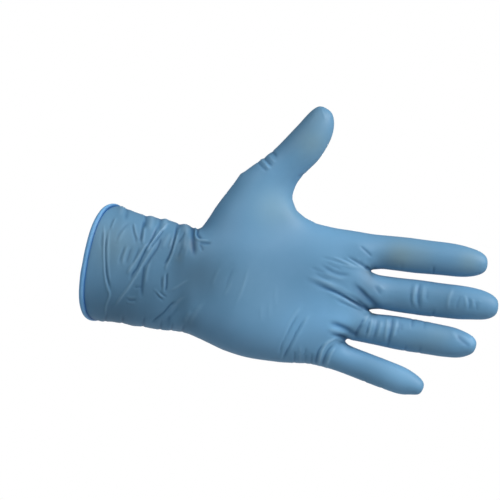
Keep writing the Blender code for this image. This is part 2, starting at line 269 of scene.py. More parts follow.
# %% The upright folds of the cuff
UPRIGHT_FOLDS = (
    Fold(-0.46, 0.80, 0.5, 0.20, ((145, 218), (142.6, 226), (141.2, 234), (140, 243))),
    Fold(0.38, 0.75, 0.0, 0.25, ((145.4, 225), (143.8, 235), (142.6, 246))),
    Fold(-0.34, 0.75, 0.0, 0.25, ((132, 222), (133.4, 231), (135.4, 239), (135.6, 245))),
    Fold(0.36, 0.70, 0.0, 0.25, ((133.8, 221), (135.4, 231), (137.8, 239.6))),
    Fold(-0.38, 0.75, 0.0, 0.30, ((139.4, 246), (136.8, 253.4), (133.8, 260.4), (130.4, 267))),
    Fold(-0.30, 0.90, 0.0, 0.35, ((132.6, 245), (129.6, 252), (127.2, 259), (125.6, 266))),
    Fold(0.34, 0.85, 0.0, 0.30, ((128.6, 244), (125, 252.4), (123.2, 259), (122.4, 267))),
    Fold(-0.34, 0.85, 0.0, 0.30, ((125.4, 244), (122.4, 252), (120.2, 258), (119, 265))),
    Fold(-0.28, 0.95, 0.0, 0.35, ((132, 221), (126.4, 225), (122, 230), (118, 236), (115, 243))),
    Fold(0.28, 0.95, 0.0, 0.35, ((128.4, 226.4), (123.8, 231), (120, 238), (116.6, 245))),
)
print("upright folds:", len(UPRIGHT_FOLDS))

# %% [markdown]
# Towards the wrist the film gets tighter. The folds there are shorter and cross each other, and some of
# them meet in small V shapes.

# %% Folds before the wrist
WRIST_FOLDS = (
    Fold(-0.66, 0.68, 0.0, 0.14, ((178, 222), (175.4, 232), (173.2, 242.4), (170.6, 251.6),
                                  (168.6, 256.6), (166, 261.6), (162.6, 266))),
    Fold(0.52, 0.75, 0.0, 0.14, ((181, 224), (177.6, 235), (175, 243.6), (172.1, 253.3), (169.6, 259.4),
                                 (166.6, 266), (165, 271.6))),
    Fold(0.32, 0.62, 0.0, 0.30, ((172.8, 235), (170.8, 242), (168.4, 249))),
    Fold(-0.36, 0.75, 0.0, 0.30, ((185, 230), (182, 237), (176.6, 244))),
    Fold(-0.24, 1.00, 0.0, 0.35, ((182.4, 242), (180, 250), (176.5, 260))),
    Fold(0.28, 1.00, 0.0, 0.35, ((189, 232), (187.6, 246), (183.5, 261))),
    Fold(-0.58, 0.65, 0.0, 0.22, ((168.4, 272.4), (166.5, 276), (166.4, 284.5), (165, 292.4))),
    Fold(0.38, 0.65, 0.0, 0.30, ((164.8, 273), (163.8, 280), (163.6, 287), (162.6, 292))),
    Fold(-0.30, 0.70, 0.0, 0.35, ((161.6, 275), (161.2, 283), (161.4, 290))),
    Fold(0.36, 0.65, 0.0, 0.30, ((153, 288), (157, 292.4), (160.4, 295.4), (165, 298))),
    Fold(-0.40, 0.60, 0.0, 0.30, ((158.6, 290.6), (161.4, 293.6), (164, 295.8), (167.4, 297))),
    Fold(-0.32, 0.65, 0.0, 0.30, ((154, 289.6), (157, 294), (160.4, 298.2), (165, 301))),
    Fold(0.30, 0.85, 0.0, 0.35, ((167, 292.6), (175.6, 288), (183.6, 282.8), (191, 278))),
    Fold(-0.50, 1.05, 0.0, 0.25, ((145.4, 261), (143.5, 268), (142.6, 276), (141.6, 287), (141.4, 299))),
    Fold(0.36, 1.05, 0.0, 0.30, ((151.6, 258), (148.4, 266), (146, 276), (144.8, 287))),
    Fold(0.26, 0.65, 0.0, 0.30, ((125.5, 296), (131, 297.6), (137, 297.2))),
    Fold(-0.30, 0.60, 0.0, 0.30, ((126, 299.4), (131, 300.6), (137, 300))),
    Fold(0.22, 0.65, 0.0, 0.30, ((125.5, 302), (131, 303), (136, 302.4))),
    Fold(-0.30, 0.65, 0.0, 0.30, ((133, 287.4), (137, 287.4), (142, 286.6))),
)
print("folds before the wrist:", len(WRIST_FOLDS))

# %% [markdown]
# Below the thumb the loose cuff meets the tight film in one deep valley, and a small curl of film lies
# beside it. Low, wide folds run out of the heel from there.

# %% Folds at the foot of the thumb and the heel
HEEL_FOLDS = (
    # the deep valley and the curl
    Fold(-0.85, 1.45, 0.0, 0.25, ((193, 220), (193, 234), (193.4, 245.6), (194.6, 258))),
    Fold(0.60, 0.70, 0.0, 0.18, ((196.6, 226), (195.3, 234), (196, 237.6), (198.4, 239.9), (203, 240.6),
                                 (210, 240.2))),
    Fold(-0.75, 0.80, 0.0, 0.25, ((198, 224), (197.6, 230.3), (197.6, 234.1), (199.8, 237.4), (203, 238))),
    Fold(-0.50, 0.80, 0.0, 0.30, ((198, 242), (201, 243), (206.8, 243.3), (212, 243))),
    Fold(-0.36, 0.80, 0.0, 0.30, ((198.6, 243), (201, 247), (203, 252))),
    Fold(0.34, 1.50, 0.0, 0.30, ((188, 226), (185.7, 236), (183.8, 253))),
    # low folds that run out of the heel
    Fold(-0.52, 0.72, -0.6, 0.20, ((177, 300.6), (170.2, 304.6), (164.4, 311.2), (159.4, 315.6), (150, 322))),
    Fold(0.30, 1.10, 0.0, 0.35, ((188, 295), (180, 300), (173, 307), (167, 314))),
    Fold(-0.22, 1.10, 0.0, 0.35, ((169.4, 314), (168, 329))),
    Fold(0.24, 1.20, 0.0, 0.35, ((191, 309), (183, 324))),
    Fold(-0.24, 1.20, 0.0, 0.35, ((181, 303), (172, 315), (161, 326))),
    Fold(0.26, 1.30, 0.0, 0.35, ((206, 299), (194, 315), (188, 329))),
)
print("folds at the thumb's foot and the heel:", len(HEEL_FOLDS))

# %% [markdown]
# The outline of the cuff isn't smooth either. Short pleats cross its upper and its lower edge, each a step
# of about half a millimetre.

# %% Pleats across the edges of the cuff
EDGE_PLEATS = (
    Fold(0.35, 1.40, 0.0, 0.30, ((121.4, 198), (122, 206), (120, 218))),
    Fold(-0.40, 1.20, 0.0, 0.30, ((127, 200), (127.4, 210), (125, 222))),
    Fold(-0.50, 1.00, 0.0, 0.30, ((147, 208), (146, 218), (143, 230))),
    Fold(0.55, 1.80, 0.0, 0.30, ((152.8, 208), (151.6, 219), (149, 232))),
    Fold(-0.50, 1.10, 0.0, 0.30, ((161.6, 211), (160.6, 221), (157, 232))),
    Fold(0.42, 1.40, 0.0, 0.30, ((166.4, 211), (165.4, 221), (161, 232))),
    Fold(-0.55, 1.20, 0.0, 0.30, ((181, 214), (179.7, 225), (177, 238))),
    Fold(0.52, 1.90, 0.0, 0.30, ((188, 214), (186.2, 224), (184.5, 236))),
    Fold(-0.40, 0.90, 0.0, 0.30, ((105, 334), (105.4, 321), (106.4, 309))),
    Fold(-0.36, 0.90, 0.0, 0.30, ((122, 334), (122, 323), (123, 313))),
    Fold(-0.42, 0.90, 0.0, 0.30, ((143.5, 337), (143, 326), (145, 314))),
    Fold(-0.40, 0.90, 0.0, 0.30, ((160.5, 341), (160, 330), (162, 318))),
    Fold(-0.34, 0.80, 0.0, 0.30, ((171, 342), (171, 331), (173, 320))),
    Fold(-0.40, 0.90, 0.0, 0.30, ((182.5, 343), (182, 332), (185, 322))),
)
print("edge pleats:", len(EDGE_PLEATS))

# %% [markdown]
# The palm is stretched smooth. A few long soft lines cross it, where it bends, and a pair of darker ones
# runs down to the edge below the little finger.

# %% Lines of the palm
PALM_LINES = (
    # long lines across the ball of the thumb and the heel
    Fold(0.20, 1.00, 0.0, 0.35, ((222, 264), (215.4, 277), (210.8, 289))),
    Fold(-0.20, 0.95, 0.0, 0.40, ((236, 264), (229, 278), (225, 292))),
    Fold(0.22, 1.10, 0.0, 0.35, ((233, 278), (228, 289), (223, 299))),
    Fold(0.24, 0.95, 0.9, 0.35, ((251, 262), (246, 279), (241.4, 293), (237.4, 303), (233, 311))),
    Fold(0.18, 0.90, 0.0, 0.40, ((261, 303), (261.4, 324))),
    Fold(0.16, 0.80, 0.0, 0.40, ((269.4, 297), (270, 324))),
    Fold(0.16, 0.80, 0.0, 0.40, ((275.4, 283), (276, 310))),
    # the pair of parallel folds that run to the heel edge
    Fold(0.26, 1.30, 0.0, 0.20, ((302.5, 303), (295.7, 314), (289, 326), (284.2, 338.6), (281, 350),
                                 (279.4, 363))),
    Fold(-0.56, 0.70, 0.0, 0.22, ((299.5, 311), (291.4, 325.5), (286.2, 335.7), (281.4, 346), (279, 360))),
    Fold(0.24, 1.10, 0.0, 0.20, ((311, 312), (304, 323), (298, 334), (292, 345), (287, 355))),
    Fold(-0.60, 0.70, 0.0, 0.22, ((305.6, 317), (296.4, 332.6), (290.3, 345), (284.2, 356), (282, 363))),
)
print("lines of the palm:", len(PALM_LINES))

# %% [markdown]
# All the other folds of the palm point at the webs between the fingers, where the film is pulled down. At
# the first web they are a fan of fine lines.

# %% Fan at the web between index and middle finger
FIRST_WEB_FOLDS = (
    Fold(-0.42, 0.75, 0.0, 0.25, ((359.5, 245.5), (366, 251), (372.5, 257.5))),
    Fold(-0.40, 0.75, 0.0, 0.22, ((347, 256), (357, 263.2), (369, 269.6))),
    Fold(-0.46, 0.70, 0.0, 0.20, ((358, 259.4), (364.5, 265), (371.5, 270.5))),
    Fold(0.26, 0.90, 0.0, 0.30, ((337, 259), (353, 266), (368, 268.4))),
    Fold(-0.28, 0.90, 0.0, 0.30, ((320, 256.4), (332.5, 261), (349, 265.4))),
    Fold(-0.40, 1.10, 0.0, 0.28, ((319, 263), (329, 269.8), (339, 274), (353, 275.4))),
    Fold(0.26, 1.00, 0.0, 0.30, ((322, 271.6), (333, 276.6), (347, 280))),
    Fold(-0.24, 0.90, 0.0, 0.30, ((313, 271), (322, 277), (333, 282))),
    Fold(0.28, 0.60, 0.0, 0.30, ((321, 257.6), (334, 262.4), (348, 266.4), (360, 269.4))),
    Fold(0.26, 0.60, 0.0, 0.30, ((330, 256), (342, 260.4), (356, 266))),
    Fold(-0.26, 0.60, 0.0, 0.30, ((336, 256.6), (347, 261), (362, 268.2))),
    Fold(0.30, 0.60, 0.0, 0.30, ((346, 257.4), (356, 263.8), (366, 269.4))),
    Fold(-0.28, 0.60, 0.0, 0.30, ((351, 257.6), (359, 262.8), (368, 269))),
    Fold(0.26, 0.60, 0.0, 0.30, ((355, 257), (362, 262.4), (370, 268.6))),
    Fold(-0.24, 0.65, 0.0, 0.30, ((323, 261), (332, 265.6), (344, 270.6))),
    Fold(-0.22, 0.80, 0.0, 0.30, ((309, 266), (317, 270), (327, 273.4))),
    Fold(-0.60, 0.80, 0.0, 0.30, ((364, 266), (369.6, 270), (374, 273.4))),
)
print("folds at the first web:", len(FIRST_WEB_FOLDS))

# %% [markdown]
# At the second web one fold is deeper than all others of the glove. It is narrow and dark at the web, and
# gets wider and softer as it runs into the palm, so two folds on one path make it: a wide soft one and a
# narrow deep one, which fades over half its length.

# %% Folds at the web between middle and ring finger
SECOND_WEB_FOLDS = (
    Fold(-0.55, 1.10, -0.4, 0.40, ((311, 281.6), (325, 287.8), (335.2, 292.2), (344.4, 297), (354.4, 303),
                                   (364.5, 308.8), (376, 312))),
    Fold(-0.85, 0.80, -0.5, 0.50, ((324, 287.4), (335.2, 291.6), (344.4, 296.8), (354.4, 302.8),
                                   (364.5, 308.6), (374, 311.6), (388, 312.6), (404, 314))),
    Fold(-0.40, 1.50, 0.0, 0.45, ((300, 277), (312, 281.6), (325, 287.6), (337, 292.6), (348, 299))),
    Fold(0.34, 1.20, 0.0, 0.35, ((305, 275.4), (316, 279.4), (328, 284), (340, 290.4))),
    Fold(0.40, 0.70, 0.0, 0.35, ((322, 282.6), (334, 288.4), (344.6, 293.8), (355, 300), (365, 306))),
    Fold(-0.45, 0.60, 0.0, 0.35, ((343, 291.6), (352, 296.6), (360, 301.8), (368, 307.6))),
    Fold(0.32, 0.80, 0.0, 0.28, ((325, 290.6), (338, 296.6), (350, 303.4), (362, 309.6))),
    Fold(-0.36, 0.95, 0.0, 0.30, ((333, 298.6), (347, 304.4), (358, 309.4), (367.5, 312.2))),
    Fold(-0.72, 2.30, 0.2, 0.40, ((347, 279), (357.4, 286.6), (366, 295), (373.5, 302.4), (381, 309),
                                  (392, 312.4))),
    Fold(-0.34, 0.80, 0.4, 0.30, ((356, 284.4), (364, 292.6), (371.5, 301), (378.5, 308))),
    Fold(0.34, 1.00, 0.0, 0.30, ((356, 281.4), (365, 290), (373, 298))),
    Fold(-0.36, 0.90, 0.0, 0.35, ((374, 284.6), (381.6, 296))),
    Fold(0.26, 0.90, 0.0, 0.35, ((378, 283), (385, 292))),
    Fold(0.30, 0.90, 0.0, 0.30, ((316, 278.6), (328, 282.6), (341, 288), (352, 294.6), (362, 301.4))),
    Fold(-0.70, 0.90, 0.0, 0.30, ((362, 305.4), (368.4, 309.6), (374, 312.6))),
    Fold(-0.34, 0.90, 0.0, 0.30, ((355, 300), (363, 304.4), (371, 308.6))),
)
print("folds at the second web:", len(SECOND_WEB_FOLDS))

# %% [markdown]
# At the third web two creases meet. Below the little finger the spare film gathers in short upright
# folds that turn round the edge.

# %% Folds at the web between ring and little finger
THIRD_WEB_FOLDS = (
    # the two creases, the ridge between them and the place where they meet
    Fold(-0.80, 1.50, 0.2, 0.32, ((326, 322.4), (337, 324.6), (346.8, 328.8), (354.6, 334.6), (362, 341))),
    Fold(0.34, 1.10, 0.0, 0.25, ((327, 329), (337, 331), (345.6, 335.6))),
    Fold(-0.75, 1.00, 0.0, 0.40, ((327, 334), (338, 335.8), (346.4, 339.4), (356, 343.4))),
    Fold(-0.60, 0.90, 0.0, 0.30, ((338, 333), (345, 338), (351, 341))),
    # gathers below the little finger
    Fold(0.70, 0.85, 0.6, 0.20, ((338, 337), (327.6, 342.8), (322.4, 350.4), (319.4, 361), (318.6, 367))),
    Fold(-0.62, 0.75, 0.0, 0.25, ((334.6, 343.6), (327.4, 351.6), (323.2, 362), (322.4, 368))),
    Fold(0.55, 0.75, 0.0, 0.25, ((336.4, 346), (330.4, 354.6), (326.6, 365), (326, 370))),
    Fold(-0.60, 0.75, 0.0, 0.25, ((324.6, 343), (318.6, 351), (316, 361), (315.4, 367))),
    Fold(-0.34, 0.70, 0.0, 0.25, ((294.6, 350), (294.2, 367))),
    Fold(-0.30, 0.70, 0.0, 0.25, ((305.6, 346), (304.8, 367))),
    Fold(0.28, 0.70, 0.0, 0.25, ((300.2, 344), (299.6, 366))),
    Fold(-0.34, 0.65, 0.0, 0.25, ((312, 352), (310.6, 367))),
)
print("folds at the third web:", len(THIRD_WEB_FOLDS))

# %% [markdown]
# Across the joints the film is a little too long, so it lies in short cross wrinkles. They bow, because
# they wrap round the finger. The ring finger has the strongest ones, at its root.

# %% Wrinkles of the ring finger
RING_WRINKLES = (
    # root
    Fold(0.50, 0.80, 0.0, 0.30, ((370, 314), (364.4, 321.6), (359.8, 327))),
    Fold(-0.66, 0.90, 0.5, 0.22, ((364.6, 318), (361.4, 325), (357.8, 331), (355.4, 338))),
    Fold(0.55, 0.75, 0.0, 0.30, ((373, 314.6), (371.4, 322), (369.4, 330), (366.4, 342))),
    Fold(-0.55, 0.70, 0.0, 0.30, ((370, 319.4), (368.4, 327), (365.6, 336.4))),
    Fold(-0.50, 0.75, 0.0, 0.35, ((378, 316), (376.4, 328), (371.6, 344))),
    Fold(0.40, 0.75, 0.0, 0.35, ((381.6, 318), (380, 328), (376.4, 340))),
    Fold(0.52, 0.70, 0.0, 0.25, ((387.6, 316), (386.4, 329), (384.4, 342))),
    Fold(-0.62, 0.80, 0.0, 0.25, ((393, 314), (391, 330), (387, 349))),
    Fold(0.46, 0.75, 0.0, 0.30, ((397, 317), (395.6, 328), (391.6, 340))),
    Fold(-0.26, 0.80, 0.0, 0.35, ((399.6, 318), (398.4, 327), (396, 336))),
    Fold(-0.26, 0.80, 0.0, 0.35, ((402, 322), (401, 333))),
    Fold(-0.40, 0.90, 0.0, 0.30, ((414, 312), (412.6, 321), (411.4, 330))),
    Fold(-0.26, 0.80, 0.0, 0.30, ((426, 314), (424.8, 323), (423.6, 331))),
    Fold(-0.28, 0.80, 0.0, 0.30, ((406.6, 343), (404.6, 351), (403, 359))),
    Fold(-0.30, 0.90, 0.0, 0.30, ((421, 345), (418.8, 354), (417, 362))),
    # tip
    Fold(-0.38, 1.40, 0.7, 0.30, ((456, 333), (461.4, 339), (468, 344.6), (472, 349))),
    Fold(0.26, 1.20, 0.0, 0.35, ((451.6, 330), (455.6, 339))),
    Fold(0.22, 1.20, 0.0, 0.40, ((470, 336), (474, 341))),
)
print("wrinkles of the ring finger:", len(RING_WRINKLES))

# %% Wrinkles of the middle finger
MIDDLE_WRINKLES = (
    Fold(-0.34, 0.75, 0.0, 0.35, ((412.4, 280), (410.6, 294), (412.2, 311))),
    Fold(0.44, 0.90, 0.3, 0.30, ((417, 281), (415, 290), (413.6, 300), (416.4, 308))),
    Fold(-0.56, 0.95, 0.0, 0.32, ((421.4, 280), (418.8, 290), (418.4, 300), (420.4, 312))),
    Fold(0.30, 0.85, 0.0, 0.35, ((424.4, 282), (422.8, 294), (423.4, 305))),
    Fold(-0.20, 0.90, 0.0, 0.40, ((428, 286), (427, 296), (427.6, 304))),
    Fold(0.34, 1.10, 0.8, 0.35, ((455.4, 286), (451, 294), (448.4, 304), (448.6, 312))),
    Fold(-0.26, 0.80, 0.0, 0.35, ((461.4, 294), (457.6, 303), (455.6, 312))),
    Fold(0.30, 0.80, 0.0, 0.35, ((463, 293), (465.8, 300), (466.4, 309))),
    Fold(-0.34, 0.80, 0.0, 0.35, ((467, 296), (469.4, 302), (469, 312))),
    Fold(0.26, 0.80, 0.0, 0.35, ((471, 297), (473.4, 303), (473, 309))),
    Fold(-0.22, 0.80, 0.0, 0.35, ((474.4, 301), (476.6, 306), (476, 312))),
    Fold(0.16, 0.80, 0.0, 0.40, ((479, 299), (480.6, 304))),
)
print("wrinkles of the middle finger:", len(MIDDLE_WRINKLES))

# %% Wrinkles of the index finger and the thumb
OTHER_WRINKLES = (
    # index finger
    Fold(-0.45, 0.70, 0.0, 0.30, ((433.6, 264), (433.6, 272), (433.4, 281))),
    Fold(-0.16, 1.20, 0.0, 0.35, ((402, 262), (401.4, 273))),
    # thumb
    Fold(-0.42, 0.80, 0.4, 0.20, ((259, 150.6), (265.6, 159), (272.6, 167.4))),
    Fold(0.34, 0.70, 0.0, 0.22, ((259.6, 157.6), (264.4, 163.4), (270.6, 170.4))),
    Fold(-0.36, 0.70, 0.0, 0.25, ((256.6, 160.6), (261.8, 166.4), (267.4, 172.4))),
    Fold(0.30, 0.70, 0.0, 0.25, ((267.4, 153.4), (271, 158.6), (276, 163.6))),
    Fold(-0.42, 0.80, 0.0, 0.25, ((268, 146), (273, 152.4), (277.4, 158))),
    Fold(-0.34, 0.90, 0.0, 0.30, ((309, 176), (303, 175), (296, 178))),
    Fold(0.20, 0.70, 0.0, 0.30, ((320.6, 108), (323.8, 114.6), (326, 121))),
    Fold(0.16, 0.70, 0.0, 0.30, ((328.6, 112), (330.8, 119))),
    # small steps in the outline of the middle and little finger
    Fold(-0.35, 0.90, 0.0, 0.30, ((434, 308), (433, 316), (432.6, 325))),
    Fold(-0.30, 0.90, 0.0, 0.30, ((366, 376), (364, 383), (362, 391))),
    Fold(-0.26, 0.90, 0.0, 0.30, ((383, 383), (381, 390), (379, 398))),
)
print("wrinkles of the index finger and thumb:", len(OTHER_WRINKLES))

# %% [markdown]
# The back of the glove isn't in the photograph, so its folds are plain ones of the same kind: slack pleats
# round the cuff, and cross wrinkles over the knuckles, where the film bunches while the fingers are spread.
# The wrinkles repeat from joint to joint, so a function makes them.

# %% Folds of the back
WRINKLE_GAP = 4             # pixels from a ridge to the valley beside it


def joint_wrinkles(joint, top, low, rise, bow, spread):
    """Ridges and valleys by turns, across a joint that is seen at a pixel column."""
    middle = (top + low) / 2.0
    columns = range(joint - spread, joint + spread + 1, WRINKLE_GAP)
    return tuple(Fold(rise=rise * (-1) ** step, width=1.20, skew=0.0, fade=0.25,
                      path=((x, top), (x + bow, middle), (x, low)))
                 for step, x in enumerate(columns))


BACK_FOLDS = (
    Fold(0.50, 1.20, 0.6, 0.20, ((112, 214), (118, 240), (116, 268), (121, 300), (118, 322))),
    Fold(-0.40, 1.20, 0.0, 0.25, ((131, 214), (129, 240), (134, 270), (128, 300))),
    Fold(0.48, 1.20, -0.8, 0.20, ((176, 222), (160, 244), (148, 272), (136, 300), (130, 324))),
    Fold(-0.38, 1.20, 0.0, 0.25, ((168, 240), (156, 262), (150, 288))),
    Fold(0.36, 1.20, 0.0, 0.25, ((186, 232), (178, 256), (175, 284), (168, 312))),
    Fold(-0.46, 1.20, 0.0, 0.25, ((192, 230), (190, 252), (194, 276))),
    Fold(-0.32, 1.20, 0.0, 0.30, ((200, 300), (188, 312), (178, 328))),
    Fold(0.26, 1.20, 0.0, 0.35, ((206, 244), (222, 262), (232, 286))),
    Fold(-0.32, 1.20, 0.0, 0.30, ((340, 262), (352, 268), (366, 270))),
    Fold(-0.36, 1.20, 0.0, 0.30, ((338, 296), (352, 303), (366, 309))),
    Fold(-0.36, 1.20, 0.0, 0.30, ((318, 326), (330, 334), (343, 339))),
)
# the pixel column of each joint, and the rows of the finger's two edges there
MIDDLE_JOINTS = ((420, 241, 269), (424, 283, 312), (402, 318, 348), (375, 362, 385))
END_JOINTS = ((460, 247, 274), (463, 288, 315), (440, 326, 353), (401, 374, 392))

for joint in MIDDLE_JOINTS:
    BACK_FOLDS += joint_wrinkles(*joint, rise=0.32, bow=2.5, spread=9)
for joint in END_JOINTS:
    BACK_FOLDS += joint_wrinkles(*joint, rise=0.24, bow=1.5, spread=4)
print("folds of the back:", len(BACK_FOLDS))

# %% [markdown]
# ## From a fold to a height
#
# For each point of the film the distance to the fold's curve gives the height: a bell curve across the
# fold, tipped by its skew, and faded along it. The curve is a Catmull-Rom spline, which passes through all
# the pixels of the path. Points far from the path's box are left out first, which keeps this quick.

# %% Height of one fold
STEPS = 8                   # straight pieces for each stretch of a path
NOTHING_PAST = 3.0          # half widths from its path, past which a fold is nothing
FINE_TO = 2.0               # half widths from its path, as far as it needs fine squares


def curve_through(path):
    """A smooth line through the pixels of a path, as an array of close points."""
    knots = np.array(path, float)
    knots = np.vstack([2.0 * knots[0] - knots[1], knots, 2.0 * knots[-1] - knots[-2]])
    line = []
    for before, here, after, beyond in zip(knots, knots[1:], knots[2:], knots[3:]):
        for t in np.arange(STEPS) / STEPS:
            bend = 2.0 * before - 5.0 * here + 4.0 * after - beyond
            twist = 3.0 * here - before - 3.0 * after + beyond
            line.append(0.5 * (2.0 * here + (after - before) * t + bend * t ** 2 + twist * t ** 3))
    return np.array(line + [knots[-2]])


def off_and_along(line, pixels):
    """How far each pixel is to the right of a line, and the share of its length where it is nearest."""
    start, run = line[:-1], np.diff(line, axis=0)
    length = np.linalg.norm(run, axis=1)
    gone = np.concatenate([[0.0], np.cumsum(length)])
    near = pixels[:, None, :] - start[None]
    share = np.clip((near * run).sum(axis=2) / length ** 2, 0.0, 1.0)
    gap = near - share[..., None] * run
    away = np.linalg.norm(gap, axis=2)
    nearest = away.argmin(axis=1)
    rows = np.arange(len(pixels))
    side = np.sign(run[nearest, 0] * gap[rows, nearest, 1] - run[nearest, 1] * gap[rows, nearest, 0])
    along = (gone[nearest] + share[rows, nearest] * length[nearest]) / gone[-1]
    return away[rows, nearest] * side, along


def smooth_step(low, high, value):
    """0 below low, 1 above high, and a soft slope between."""
    share = np.clip((value - low) / (high - low), 0.0, 1.0)
    return share * share * (3.0 - 2.0 * share)


def fold_height(fold, pixels):
    """The rise of one fold at each pixel, in millimetres, and where it reaches."""
    line = curve_through(fold.path)
    width = fold.width * MM / PIXEL
    margin = NOTHING_PAST * width
    inside = ((pixels > line.min(axis=0) - margin) & (pixels < line.max(axis=0) + margin)).all(axis=1)
    height = np.zeros(len(pixels))
    reached = np.zeros(len(pixels), bool)
    if inside.any():
        off, along = off_and_along(line, pixels[inside])
        across = off / width
        fade = smooth_step(0.0, fold.fade, along) * smooth_step(0.0, fold.fade, 1.0 - along)
        height[inside] = fold.rise * np.exp(-across ** 2) * (1.0 + fold.skew * across) * fade
        reached[inside] = np.abs(across) < FINE_TO
    return height, reached


print("points on a path of three pixels:", len(curve_through(BACK_FOLDS[0].path[:3])))

# %% [markdown]
# ## Which side a point is on
#
# A pixel is seen through the front of the glove and through its back. The y part of a point's normal says
# which of the two it is on, and a soft step lets each set of folds run a little way round the edge.

# %% Points, normals and sides
CUFF_FOLDS = RIM_FOLDS + SLANTING_FOLDS + UPRIGHT_FOLDS + WRIST_FOLDS + HEEL_FOLDS + EDGE_PLEATS
PALM_FOLDS = PALM_LINES + FIRST_WEB_FOLDS + SECOND_WEB_FOLDS + THIRD_WEB_FOLDS
FRONT_FOLDS = CUFF_FOLDS + PALM_FOLDS + RING_WRINKLES + MIDDLE_WRINKLES + OTHER_WRINKLES
FRONT_ENDS = (-0.10, 0.45)  # y parts of the normals between which the front folds fade
BACK_ENDS = (-0.30, 0.25)   # and the folds of the back


def points_and_normals(bm):
    """Two arrays, of a bmesh's points and of their normals."""
    bm.normal_update()
    points = np.array([vert.co[:] for vert in bm.verts])
    normals = np.array([vert.normal[:] for vert in bm.verts])
    return points, normals


def sides(normals):
    """How much of each point is on the palm side, and how much on the back."""
    front = 1.0 - smooth_step(*FRONT_ENDS, normals[:, 1])
    back = smooth_step(*BACK_ENDS, normals[:, 1])
    return front, back


print("front folds:", len(FRONT_FOLDS))

# %% [markdown]
# ## Finer squares where the folds are
#
# A fold 1 mm wide needs squares of about half a millimetre, but squares that small all over the glove
# would make far too many. So only the edges near a fold are cut in half, and then once more near the
# narrow ones.

# %% Find and cut the edges near the folds
NO_FOLD = 99.0              # stands for a width in mm where no fold is near
TOO_FAINT = 0.02            # share of a side below which its folds don't count


def widths_here(bm):
    """For each point, half the width in mm of the narrowest fold that reaches it, or a large number."""
    points, normals = points_and_normals(bm)
    pixels = seen_at(points)
    front, back = sides(normals)
    narrowest = np.full(len(points), NO_FOLD)
    for folds, side in ((FRONT_FOLDS, front), (BACK_FOLDS, back)):
        for fold in folds:
            reached = fold_height(fold, pixels)[1] & (side > TOO_FAINT)
            narrowest[reached] = np.minimum(narrowest[reached], fold.width)
    return narrowest


def cut_edges(bm, share):
    """Halves each edge that is longer than a share of the fold's width beside it."""
    narrowest = widths_here(bm)
    bm.verts.index_update()
    long = [edge for edge in bm.edges
            if edge.calc_length() > share * MM * min(narrowest[vert.index] for vert in edge.verts)]
    bmesh.ops.subdivide_edges(bm, edges=long, cuts=1, use_grid_fill=True)
    return len(long)


print("points that a fold reaches:", int((widths_here(film) < NO_FOLD).sum()), "of", len(film.verts))

# %% [markdown]
# A face with more than four corners is left beside each cut, and is made triangles. The cut squares are
# still flat, so a round of smoothing follows each cut.

# %% Subdivide near the folds
def triangles(bm):
    """How many triangles the faces of a bmesh come to."""
    return sum(len(face.verts) - 2 for face in bm.faces)


CUT_ABOVE = 0.80            # of a fold's half width

for turn in range(2):
    cut = cut_edges(film, CUT_ABOVE)
    many = [face for face in film.faces if len(face.verts) > 4]
    bmesh.ops.triangulate(film, faces=many)
    bmesh.ops.smooth_vert(film, verts=film.verts, factor=0.5,
                          use_axis_x=True, use_axis_y=True, use_axis_z=True)
    print("turn", turn, "edges cut:", cut, "triangles:", triangles(film))

# %% [markdown]
# ## Raise the folds
#
# Every point moves along its own normal by the sum of all the folds that reach it. The loose cuff also
# gets a slow unevenness, because nothing stretches it flat there. Each point's height is kept as well,
# so that the finish can paint shade into a valley and a highlight onto a crest.

# %% Move the points
CUFF_UNEVEN = 0.40          # mm, the slow waves of the loose cuff
WAVE_ACROSS = 6.5           # mm from one wave to the next
WAVE_ALONG = 24.0           # mm, how far each runs along the folds
WAVE_TURN = 16.0            # degrees that the folds lean from upright
CUFF_ENDS = (62.0, 92.0)    # mm from the opening, where the film starts to be tight and where it is


def fold_sum(folds, pixels):
    """The summed rise of several folds at each pixel, in millimetres."""
    return sum(fold_height(fold, pixels)[0] for fold in folds)


points, normals = points_and_normals(film)
pixels = seen_at(points)
front, back = sides(normals)
rise = fold_sum(FRONT_FOLDS, pixels) * front + fold_sum(BACK_FOLDS, pixels) * back
loose = 1.0 - smooth_step(*CUFF_ENDS, points @ np.array(CUFF_WAY) / MM)
lean = math.radians(WAVE_TURN)
along = (points[:, 0] * math.sin(lean) + points[:, 2] * math.cos(lean)) / (WAVE_ALONG * MM)
across = (points[:, 0] * math.cos(lean) - points[:, 2] * math.sin(lean)) / (WAVE_ACROSS * MM)
outward = points[:, 1] / (WAVE_ALONG * MM)
waves = np.array([noise.noise(spot) for spot in np.stack([across, along, outward], axis=1)])
lift = rise + waves * loose * CUFF_UNEVEN
for vert, height in zip(film.verts, lift):
    vert.co += vert.normal * float(height) * MM
print("deepest and highest in mm:", round(rise.min(), 2), round(rise.max(), 2))

# %% [markdown]
# ## Ease the outline
#
# The fixed solid runs in even curves from section to section. The worn film sags a little between the rim
# and the wrist and bulges where a joint lies beneath, mostly by less than a millimetre. Each row moves the
# edge that is seen at a pixel in or out, and leaves the faces that look at the camera where they are.

# %% Ease the edge
Ease = namedtuple("Ease", "across down reach rise")

